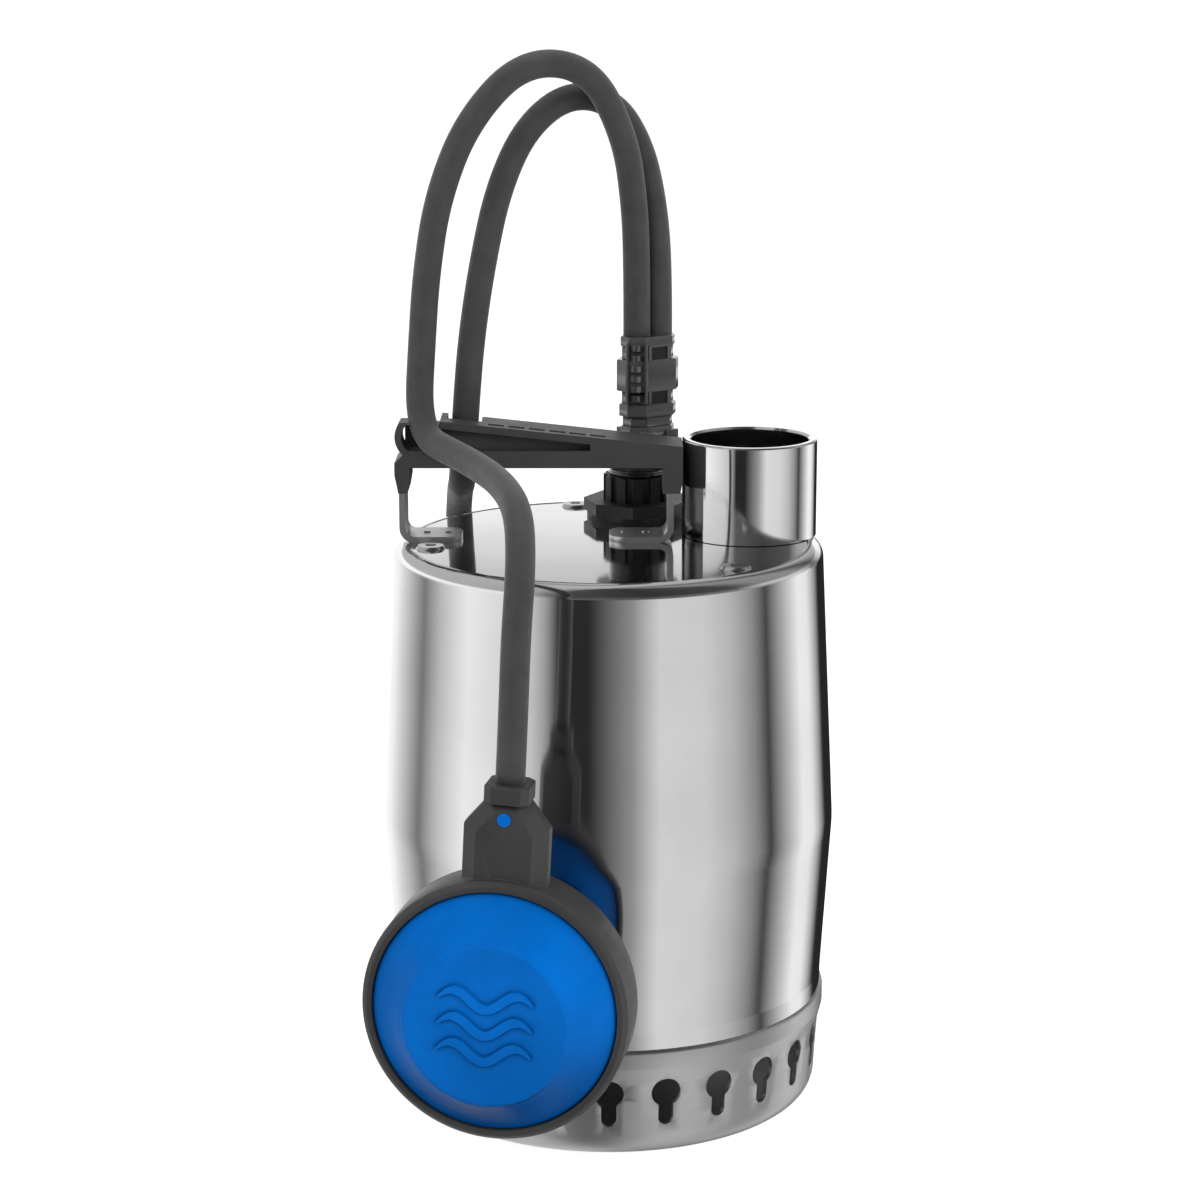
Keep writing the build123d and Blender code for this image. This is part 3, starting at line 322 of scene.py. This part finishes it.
for row in frame["record"]["subparts"]:
    node = nodes[row["node"]]
    node.data.materials.clear()
    node.data.materials.append(materials[row["material_slot"]])


def finished(piece, body, slot, *stands_for):
    """Gives a piece its slot's material, attaches it to its body unless it is rig-blended, and hides the CAD
    nodes it stands for.
    """
    piece.data.materials.append(materials[slot])
    if stands_for:
        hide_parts(*stands_for)
    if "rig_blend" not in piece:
        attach(piece, body)
    return piece


# ---- camera and studio -------------------------------------------------------------------
target = Vector((-0.0028, 0, 0.1675))
distance, pitch = 0.9928, radians(12.95)
camera_data = bpy.data.cameras.new("camera")
camera_data.sensor_width = 36.0
camera_data.lens = 90.42
camera = add_object("camera", camera_data)
camera.location = target + distance * Vector((0, -cos(pitch), sin(pitch)))
camera.rotation_euler = (pi / 2 - pitch, 0, 0)
scene.camera = camera
scene.view_settings.view_transform = "Standard"

# What the metal reflects, by the compass round the pump: 0 is in front, + is to its right.
# Low down softboxes stand left, right of the front and behind, with black flags between them;
# higher up the left and the back are bright and the front is dark.
LOW_STUDIO = [
    (-180, 1.1), (-150, 1.0), (-130, 0.6), (-113, 0.2), (-98, 0.6), (-78, 1.0), (-60, 0.85),
    (-40, 0.65), (-33, 0.4), (-26, 0.02), (-10, 0.02), (-3, 0.1), (12, 0.32), (26, 0.78),
    (50, 0.74), (66, 0.56), (80, 0.3), (90, 0.05), (104, 0.5), (118, 1.0), (128, 0.95),
    (137, 0.5), (146, 0.02), (174, 0.02)]
HIGH_STUDIO = [
    (-180, 1.1), (-100, 1.1), (-45, 0.9), (-25, 0.15), (20, 0.08), (70, 0.15), (90, 0.6),
    (120, 0.7), (140, 0.15), (160, 1.0), (168, 1.1)]


def make_world():
    """Even white light for matt surfaces, and softboxes and dark flags for the metal."""
    world = bpy.data.worlds.new("studio")
    scene.world = world
    world.use_nodes = True
    tree = world.node_tree
    tree.nodes.clear()

    def node(kind, **values):
        made = tree.nodes.new(kind)
        for name, value in values.items():
            setattr(made, name, value)
        return made

    link = tree.links.new
    direction = node("ShaderNodeSeparateXYZ")
    link(node("ShaderNodeTexCoord").outputs["Generated"], direction.inputs["Vector"])
    towards = node("ShaderNodeMath", operation="MULTIPLY")
    towards.inputs[1].default_value = -1
    link(direction.outputs["Y"], towards.inputs[0])
    compass = node("ShaderNodeMath", operation="ARCTAN2")
    link(direction.outputs["X"], compass.inputs[0])
    link(towards.outputs[0], compass.inputs[1])
    share = node("ShaderNodeMath", operation="MULTIPLY_ADD")
    share.inputs[1].default_value = 1 / tau
    share.inputs[2].default_value = 0.5
    link(compass.outputs[0], share.inputs[0])

    def bands(levels):
        made = node("ShaderNodeValToRGB")
        link(share.outputs[0], made.inputs["Fac"])
        for place, (angle, level) in enumerate(levels):
            if place > 1:
                made.color_ramp.elements.new(0.999)
            element = made.color_ramp.elements[place]
            element.position = angle / 360 + 0.5
            element.color = (level, level, level, 1)
        return made.outputs["Color"]

    def climb(low, high, bottom, top):
        """A soft change from one level to another with the height of the direction."""
        made = node("ShaderNodeMapRange", interpolation_type="SMOOTHSTEP")
        for name, value in zip(("From Min", "From Max", "To Min", "To Max"),
                               (low, high, bottom, top)):
            made.inputs[name].default_value = value
        link(direction.outputs["Z"], made.inputs["Value"])
        return made.outputs["Result"]

    def mixed(factor, first, second, blend="MIX"):
        made = node("ShaderNodeMix", data_type="RGBA", blend_type=blend)
        for name, value in (("Factor", factor), ("A", first), ("B", second)):
            if isinstance(value, float):
                made.inputs[name].default_value = value if name == "Factor" else (*[value] * 3, 1)
            else:
                link(value, made.inputs[name])
        return made.outputs["Result"]

    high_part = mixed(1.0, bands(HIGH_STUDIO), climb(0.188, 0.224, 1.0, 0.45), "MULTIPLY")
    metal = mixed(climb(-0.07, 0.03, 0.0, 1.0), bands(LOW_STUDIO), high_part)
    rays = node("ShaderNodeLightPath")
    background = node("ShaderNodeBackground")
    light_on_matt, backdrop = 0.62, 1.06
    for_matt = mixed(rays.outputs["Is Camera Ray"], light_on_matt, backdrop)
    link(mixed(rays.outputs["Is Glossy Ray"], for_matt, metal), background.inputs["Color"])
    link(background.outputs["Background"], node("ShaderNodeOutputWorld").inputs["Surface"])


def softbox(name, place, size, power, aim=(0, 0, 0.15)):
    """A square area lamp aimed at the pump; the metal's own studio isn't disturbed by it."""
    lamp = bpy.data.lights.new(name, "AREA")
    lamp.size, lamp.energy = size, power
    made = add_object(name, lamp)
    made.location = place
    made.visible_glossy = False
    made.rotation_euler = (Vector(aim) - Vector(place)).to_track_quat("-Z", "Y").to_euler()
    return made


make_world()
softbox("key", (-0.8, -1.2, 1.3), 0.9, 16.0)
softbox("right", (1.2, -1.0, 0.7), 0.8, 20.0)
softbox("top", (0.1, 0.2, 1.6), 1.0, 18.0)

bpy.ops.mesh.primitive_circle_add(vertices=96, radius=30, fill_type="NGON")
floor = bpy.context.object
floor.name = "floor"
floor.visible_glossy = False
paper = Shader("paper", Base_Color=(0.32, 0.32, 0.32, 1), Roughness=0.9,
               Emission_Color=(1, 1, 1, 1), Emission_Strength=0.86)
paper.bump(paper.noise(900.0), 1e-5, 0.3)
floor.data.materials.append(paper.material)

# ---- cables ------------------------------------------------------------------------------
cable_d = 0.009                    # also the rise from one layer of the coil to the next
float_route = millimetres([
    (9.5, 37, 250), (9.5, 37, 270), (8.8, 34.7, 293), (5.5, 30.5, 316.5), (-6, 23, 339.3),
    (-27.3, 15, 342), (-45.2, 9.5, 323.4), (-55, 6.5, 299.2), (-59, 4, 274), (-60.6, 1.4, 250),
    (-61.6, -1.2, 232), (-58.5, -7, 222.3), (-52, -18, 221), (-41.3, -38, 219.3),
    (-32.5, -62, 218), (-27, -86, 214.3), (-26, -101, 202), (-27.6, -105.5, 180),
    (-28.5, -105.9, 156.4), (-29.5, -105.7, 136.4)])
mains_route = millimetres([
    (17, 42.5, 250), (17, 42.5, 272), (15.3, 42.8, 293), (11, 41.2, 312.4), (2, 38.5, 327.3),
    (-13, 33.5, 330.5), (-27, 27.5, 319.8), (-36, 22, 300.5), (-41.2, 16, 276.6),
    (-44.7, 11, 253.7), (-46.5, 8.5, 233), (-47.8, 12.5, 214), (-49, 24.5, 202),
    (-50.2, 40, 198), (-51.3, 55, 191.5), (-52.5, 65, 177), (-53.5, 68.5, 154),
    (-54.5, 71, 129), (-55.5, 74, 104), (-56.8, 78, 79), (-58.5, 85, 56), (-61, 96, 35),
    (-64, 111, 18), (-66.8, 129, 8.5), (-68.3, 145, 5.8)])
plug_route = millimetres([
    (58, 185.5, 32.7), (65.8, 172, 34), (68.7, 156, 37.6), (66, 140, 42.6), (58, 126, 48),
    (45.8, 115.8, 52.8), (31, 110, 55.7), (16, 110, 55.7)])


def coil_turns():
    """The stored length: four layers of turns, wound in, out, in and out again."""
    low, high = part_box("mains_coil")
    middle = (low + high) / 2
    coil_depth = 0.0316                            # from the outer turns in to the inner ones
    climb_from = 0.94                              # the share of a layer where it starts to climb
    outer = (high.x - low.x) / 2 - cable_d / 2
    inner = outer - coil_depth
    first, last, whole_turns, layers, per_turn = 186.0, 30.0, 13, 4, 16
    swept = first - last + 360 * whole_turns
    steps = round(swept / 360 * per_turn)
    grow = 1 / (0.5 + 0.5 * cos(pi / per_turn))    # the spline runs inside its own corners
    points = []
    for step in range(1, steps):
        done = layers * step / steps
        layer = min(int(done), layers - 1)
        inward = done - layer if layer % 2 == 0 else 1 - (done - layer)
        radius = (outer + (inner - outer) * inward) * grow
        climbed = min(1, max(0, (done - layer - climb_from) / (1 - climb_from)))
        climb = climbed if layer < layers - 1 else 0
        height = low.z + cable_d / 2 + cable_d * (layer + climb)
        angle = radians(first - swept * step / steps)
        points.append(Vector((middle.x + radius * cos(angle), middle.y + radius * sin(angle),
                              height)))
    return points


def make_cables():
    float_curve = nurbs_curve("float_line", float_route)
    path = curve_points(float_curve)
    float_cable = tube("float_cable", path, cable_d / 2)
    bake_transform(float_cable, "root", "float_arm", start=(-0.0613, 0.0005, 0.238),
             end=(-0.054, -0.0145, 0.2215))
    finished(float_cable, None, "cable_rubber", "float_cable_loop", "float_cable_bend",
             "float_cable_drop")

    mains_curve = nurbs_curve("mains_cable", mains_route + coil_turns() + plug_route)
    mains_curve.splines[0].resolution_u = 8
    mains_curve.bevel_depth = cable_d / 2
    mains_curve.bevel_resolution = 5
    mains_curve.use_fill_caps = True
    mains = add_object("mains_cable_whole", mains_curve)
    finished(mains, "root", "cable_rubber", "mains_cable", "mains_coil", "plug_cable")
    return float_cable, mains


float_cable, mains_cable = make_cables()


def make_plug():
    """Round plug with finger flutes and a ribbed tail."""
    low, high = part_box("mains_plug")
    centre_y, centre_z, radius = (low.y + high.y) / 2, (low.z + high.z) / 2, (high.y - low.y) / 2
    place = Matrix.Translation((low.x, centre_y, centre_z)) @ Matrix.Rotation(pi / 2, 4, "Y")
    length = high.x - low.x
    profile = [(0.0001, 0.0006), (radius - 0.0040, 0.0006), (radius - 0.0034, 0),
               (radius - 0.0008, 0), (radius, 0.0008), (radius, 0.0175),
               (radius - 0.0006, 0.0195), (radius - 0.0026, 0.0215), (radius - 0.0055, 0.0275),
               (0.0108, 0.0365), (0.0096, 0.0400)]
    ribs, flutes, flute_depth = 6, 12, 0.0007
    start, pitch = 0.0405, (length - 0.0415) / ribs
    for rib in range(ribs):
        r = 0.0090 - 0.0023 * rib / (ribs - 1)
        at = start + pitch * rib
        profile += [(r, at), (r + 0.0002, at + 0.3 * pitch), (r, at + 0.6 * pitch),
                    (r - 0.0016, at + 0.66 * pitch), (r - 0.0016, at + 0.94 * pitch)]
    profile += [(0.0063, length - 0.0008), (0.0058, length), (0.0001, length)]
    plug = lathe("plug_body", profile, place, turns=72)
    for vertex in plug.data.vertices:                  # flutes to hold it by
        local = place.inverted() @ vertex.co
        along, angle, r = local.z, atan2(local.y, local.x), sqrt(local.x ** 2 + local.y ** 2)
        if 0.002 < along < 0.024 and r > 0.01:
            flute = max(0.0, cos(angle * flutes)) ** 2 * flute_depth
            shrink = 1 - flute / r
            vertex.co = place @ Vector((local.x * shrink, local.y * shrink, along))
    return finished(plug, "root", "plug_rubber", "mains_plug")


plug_body = make_plug()

# ---- float -------------------------------------------------------------------------------
float_yaw, float_lean = radians(10.5), radians(3.0)
face = Vector((-sin(float_yaw), -cos(float_yaw), 0))
level = Vector((cos(float_yaw), -sin(float_yaw), 0))
side = level * cos(float_lean) - Vector((0, 0, 1)) * sin(float_lean)
up = face.cross(side)
float_centre = Vector((-33.1, -105.0, 66.7)) * MM
float_place = Matrix.Translation(float_centre) @ Matrix((side, up, face)).transposed().to_4x4()
shell_seat, disc_r, band_half, disc_rise = 0.0376, 0.025, 0.0095, 0.012


def make_shell(name, node_name, facing):
    """A blue half of the float: rolled lip, cone, and a flat disc with a rounded edge."""
    top = band_half + disc_rise
    lip = band_half - 0.0012
    profile = [(shell_seat, lip - 0.004), (shell_seat, lip - 0.0002),
               (shell_seat - 0.0004, lip + 0.0004), (shell_seat - 0.0012, lip + 0.0009)]
    steps, hollow_depth = 10, 0.0005
    cone_in, cone_top = disc_r + 0.0012, top - 0.0015
    for step in range(1, steps + 1):                  # slightly hollow cone
        t = step / steps
        hollow = hollow_depth * sin(pi * t)
        profile.append((shell_seat - 0.0012 + (cone_in - shell_seat + 0.0012) * t,
                        lip + 0.0009 + (cone_top - lip - 0.0009) * t - hollow))
    profile += arc((disc_r - 0.0004, top - 0.0010), 0.0010, 0, 90, 5)
    profile += [(disc_r - 0.0012, top), (disc_r - 0.0016, top - 0.0001), (0.012, top - 0.0001),
                (0.0001, top - 0.0001)]
    turn = Matrix.Identity(4) if facing > 0 else Matrix.Rotation(pi, 4, "Y")
    shell = lathe(name, profile, float_place @ turn, turns=128)
    return finished(shell, "float_arm", "float_blue", node_name)


def make_waves():
    """A plain water mark of three raised waves on the float's face."""
    vertices, faces = [], []
    span, rise, half, steps = 0.0145, 0.0026, 0.0019, 48
    row_gap, bends = 0.0082, tau * 1.5
    base, height = band_half + disc_rise - 0.0003, 0.0011
    for row in (-1, 0, 1):
        first = len(vertices)
        for step in range(steps + 1):
            t = step / steps
            x = span * (2 * t - 1)
            y = row * row_gap + rise * sin(bends * t)
            slope = rise * cos(bends * t) * bends / (2 * span)
            scale = 1 / sqrt(1 + slope ** 2)
            taper = min(1, 4 * t + 0.25, 4 * (1 - t) + 0.25)
            normal = Vector((-slope * scale, scale)) * half * taper
            for across, lift in ((-1, 0), (-0.72, 1), (0.72, 1), (1, 0)):
                local = Vector((x + normal.x * across, y + normal.y * across,
                                base + height * lift))
                vertices.append(float_place @ local)
        for step in range(steps):
            here = first + step * 4
            faces += [(here + k, here + k + 1, here + k + 5, here + k + 4) for k in range(3)]
            faces.append((here + 3, here, here + 4, here + 7))
        faces += [(first, first + 1, first + 2, first + 3),
                  tuple(first + steps * 4 + k for k in (3, 2, 1, 0))]
    waves = mesh_object("float_wave_mark", vertices, faces, smooth=False)
    return finished(waves, "float_arm", "float_blue")


make_shell("float_face_front", "float_shell_front", 1)
make_shell("float_face_rear", "float_shell_rear", -1)
make_waves()

# ---- boot and gland ----------------------------------------------------------------------
boot_turn = radians(36.3)
boot_place = (Matrix.Translation(Vector((13.25, 39.75, 0)) * MM)
              @ Matrix.Rotation(boot_turn, 4, "Z"))
# (bottom, top, width, depth, bevel) of the boot's bevelled rectangles, low to high
BOOT_STEPS = [
    (213.0, 216.4, 20.4, 15.6, 4.6), (216.4, 219.6, 18.6, 14.0, 4.4),
    (219.6, 223.0, 17.4, 12.4, 3.8), (223.0, 227.2, 20.4, 13.6, 4.4),
    (227.2, 231.6, 18.8, 12.0, 4.0), (231.6, 242.2, 22.2, 14.0, 4.4),
    (242.2, 246.6, 18.8, 12.0, 4.0), (246.6, 250.0, 19.6, 12.8, 4.2)]
BELLY = BOOT_STEPS[5][:2]                          # the widest step, from bottom to top
WINDOW_HEIGHTS = (229.4, 244.4)


class Solids:
    """Several closed solids gathered in one mesh, written in millimetres."""

    def __init__(self, place):
        self.place, self.vertices, self.faces = place, [], []

    def prism(self, low_ring, high_ring):
        """A solid between two rings of (x, y, z) points."""
        count, first = len(low_ring), len(self.vertices)
        self.vertices += [self.place @ (Vector(p) * MM) for p in (*low_ring, *high_ring)]
        self.faces.append(tuple(first + k for k in reversed(range(count))))
        self.faces.append(tuple(first + count + k for k in range(count)))
        self.faces += [(first + k, first + (k + 1) % count, first + count + (k + 1) % count,
                        first + count + k) for k in range(count)]

    def block(self, middle, size, turn=0.0):
        """A box with its middle, size and turn about the vertical."""
        corners = [(size[0] / 2 * a, size[1] / 2 * b)
                   for a, b in ((-1, -1), (1, -1), (1, 1), (-1, 1))]
        ring = [(middle[0] + x * cos(turn) - y * sin(turn),
                 middle[1] + x * sin(turn) + y * cos(turn)) for x, y in corners]
        self.prism([(*p, middle[2] - size[2] / 2) for p in ring],
                   [(*p, middle[2] + size[2] / 2) for p in ring])

    def barrel(self, middle, radius, height, sides=16):
        """A short upright cylinder."""
        ring = [(middle[0] + radius * cos(tau * k / sides),
                 middle[1] + radius * sin(tau * k / sides)) for k in range(sides)]
        self.prism([(*p, middle[2] - height / 2) for p in ring],
                   [(*p, middle[2] + height / 2) for p in ring])

    def finish(self, name, rounding):
        made = mesh_object(name, self.vertices, self.faces)
        round_edges(made, rounding)
        return made


def bevelled_ring(width, depth, bevel, height):
    x, y = width / 2, depth / 2
    return [(x, bevel - y, height), (x, y - bevel, height), (x - bevel, y, height),
            (bevel - x, y, height), (-x, y - bevel, height), (-x, bevel - y, height),
            (bevel - x, -y, height), (x - bevel, -y, height)]


def make_boot():
    """Grommet of the two cables: stepped body, ladders down its corners, framed windows."""
    boot = Solids(boot_place)
    inset, edge = 0.5, 0.4
    for low, high, width, depth, bevel in BOOT_STEPS:
        brow = bevelled_ring(width, depth, bevel, high - edge)
        boot.prism(bevelled_ring(width, depth, bevel, low), brow)
        boot.prism(brow, bevelled_ring(width - inset, depth - inset, bevel - 0.1, high))
    turn = radians(45)
    ladder_z, rung_pitch, rung_r, rung_h = 229.4, 3.4, 3.1, 2.3
    for corner in (1, -1):                             # ladders, on two opposite corners
        for rung in range(6):
            height = ladder_z + rung * rung_pitch
            reach = 7.6 if BELLY[0] < height < BELLY[1] else 6.5
            boot.barrel((-corner * reach, -corner * (reach - 3.9), height), rung_r, rung_h)
        for rail in (-1, 1):
            along = rail * 3.2 * cos(turn)
            boot.block((-corner * 8.3 + along, -corner * 5.2 - along, 238.0),
                       (0.8, 3.2, 20.5), -turn)
    frame_y, half_w, half_h = 6.1, 3.9, 2.5
    for face in (1, -1):                               # windows in the broad faces
        for height in WINDOW_HEIGHTS:
            for rail in (-1, 1):
                boot.block((rail * half_w, -face * frame_y, height), (1.3, 1.4, 4.6))
            boot.block((0, -face * frame_y, height + half_h), (9.1, 1.4, 0.9))
            boot.block((0, -face * frame_y, height - half_h), (9.1, 1.4, 0.9))
        for foot in (-1, 1):                           # cheeks on the foot
            boot.block((foot * 4.6, -face * 6.6, 216.0), (5.0, 3.0, 4.6))
    moulding = boot.finish("cable_boot_moulding", 0.00025)
    return finished(moulding, "root", "boot_rubber", "cable_boot")


def make_boot_window_shade():
    """Near-black blocks behind the window frames, in the darker seal rubber: painted shade standing in for
    the shade in the recesses.
    """
    shade_blocks = Solids(boot_place)
    for face in (1, -1):
        for height in WINDOW_HEIGHTS:
            shade_blocks.block((0, -face * 5.9, height), (6.0, 1.0, 4.1))
    return finished(shade_blocks.finish("boot_window_painted_shade", 0.0001), "root", "seal_rubber")


def make_gland_thread():
    """Rounded thread crests that show between the nut and the handle's clasp."""
    core_r, root_r, crest_h, pitch, start = 0.0082, 0.0093, 0.0006, 0.0019, 0.2026
    profile = [(core_r, 0.2020)]
    for crest in range(4):
        profile += [(root_r + r * crest_h, start + crest * pitch + h * pitch)
                    for r, h in ((0, 0), (0.7, 0.15), (1, 0.35), (0.7, 0.55), (0, 0.7))]
    profile.append((core_r, 0.2105))
    thread = lathe("gland_thread", profile, Matrix.Translation((0.010, 0.040, 0)), turns=64)
    return finished(thread, "root", "boot_rubber")


make_boot()
make_boot_window_shade()
make_gland_thread()

# ---- edges of the carried-over CAD parts -------------------------------------------------
EDGES = {
    "float_body": 0.0005, "float_collar": 0.0003, "handle": 0.0005, "gland_body": 0.0004,
    "gland_nut": 0.0003, "bracket_left": 0.0003, "bracket_right": 0.0003,
    "top_screws": 0.00015, "coil_ties": 0.0003, "strainer": 0.00015, "plug_pins": 0.0002,
    "plug_earth_clips": 0.0002}
for name, width in EDGES.items():
    round_edges(nodes[name], width)
